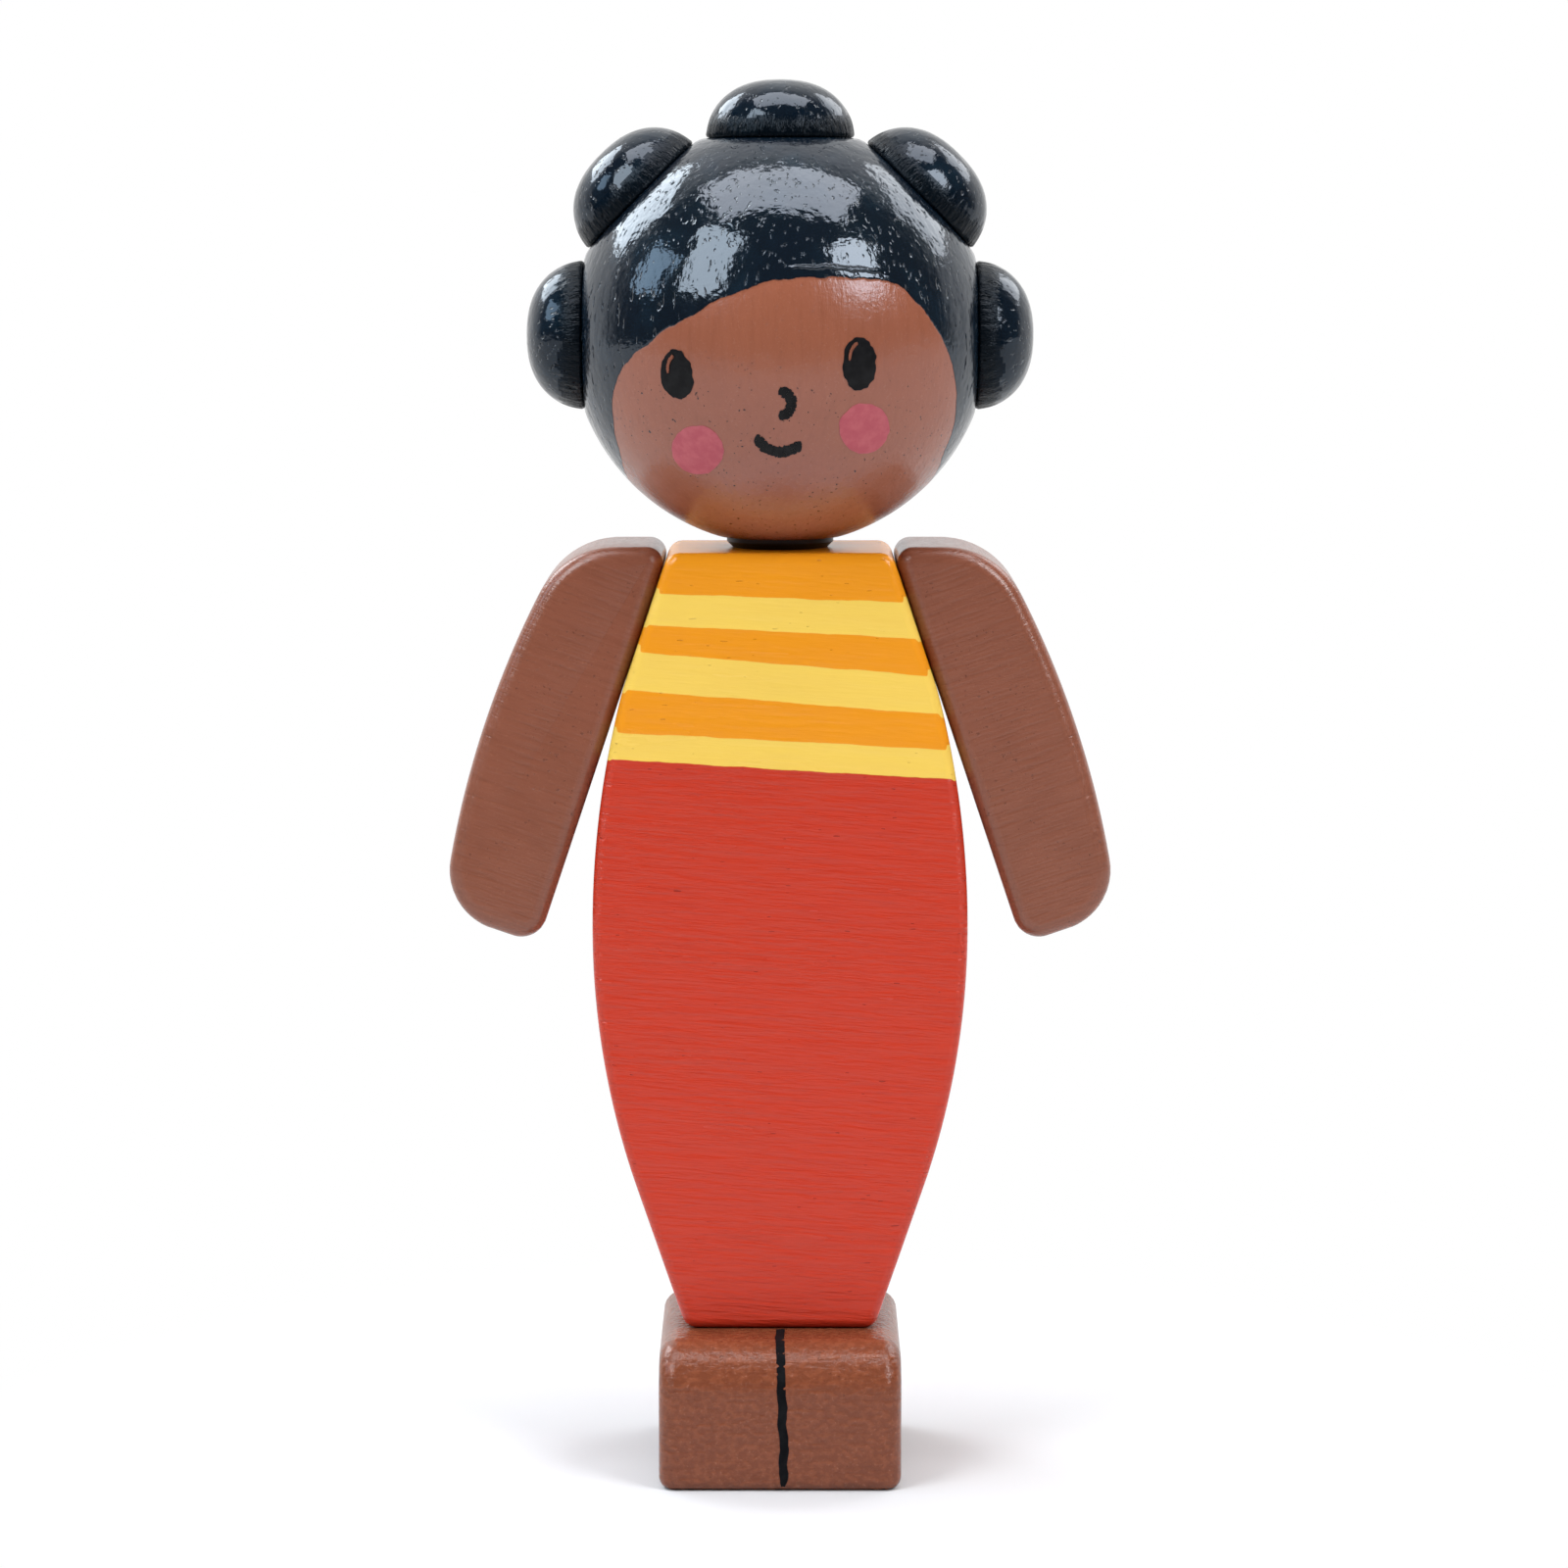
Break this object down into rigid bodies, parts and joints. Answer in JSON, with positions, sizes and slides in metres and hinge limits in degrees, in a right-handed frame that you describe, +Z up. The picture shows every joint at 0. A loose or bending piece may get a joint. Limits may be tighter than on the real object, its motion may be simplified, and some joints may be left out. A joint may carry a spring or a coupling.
{
  "type": "peg doll",
  "caption": "Painted wooden peg doll with a turning ball head with hair buns, a tapered body board, swinging pinned arms and a block for the feet.",
  "frame": {"origin": "on the floor under the body's upright axis, at the middle of the overall box", "axes": "+Z up, the doll faces -Y, and its own left hand is on +X"},
  "size_m": [0.0558, 0.0352, 0.117],
  "materials": {
    "head": "painted, gloss",
    "hair": "painted, gloss",
    "neck": "painted, satin",
    "dress": "painted, satin",
    "skin": "painted, satin",
    "bare_wood": "unpainted"
  },
  "bodies": {
    "trunk": {"body_board": "dress", "foot_block": "skin", "foot_dowel_left": "bare_wood", "foot_dowel_right": "bare_wood", "neck_peg": "neck"},
    "head": {"head_ball": "head", "bun_top": "hair", "bun_upper_left": "hair", "bun_upper_right": "hair", "bun_side_left": "hair", "bun_side_right": "hair"},
    "left_arm": {"arm_left": "skin", "arm_pin_left": "bare_wood"},
    "right_arm": {"arm_right": "skin", "arm_pin_right": "bare_wood"}
  },
  "joints": [
    {"name": "head_turn", "type": "hinge", "parent": "trunk", "child": "head", "pos_m": [0, 0, 0.07795], "axis": [0, 0, 1], "continuous": true},
    {"name": "left_arm_swing", "type": "hinge", "parent": "trunk", "child": "left_arm", "pos_m": [0.01168, 0, 0.07084], "axis": [-0.9483, 0, -0.3173], "range_deg": [-115, 115]},
    {"name": "right_arm_swing", "type": "hinge", "parent": "trunk", "child": "right_arm", "pos_m": [-0.01168, 0, 0.07084], "axis": [-0.9483, 0, 0.3173], "range_deg": [-115, 115]}
  ]
}
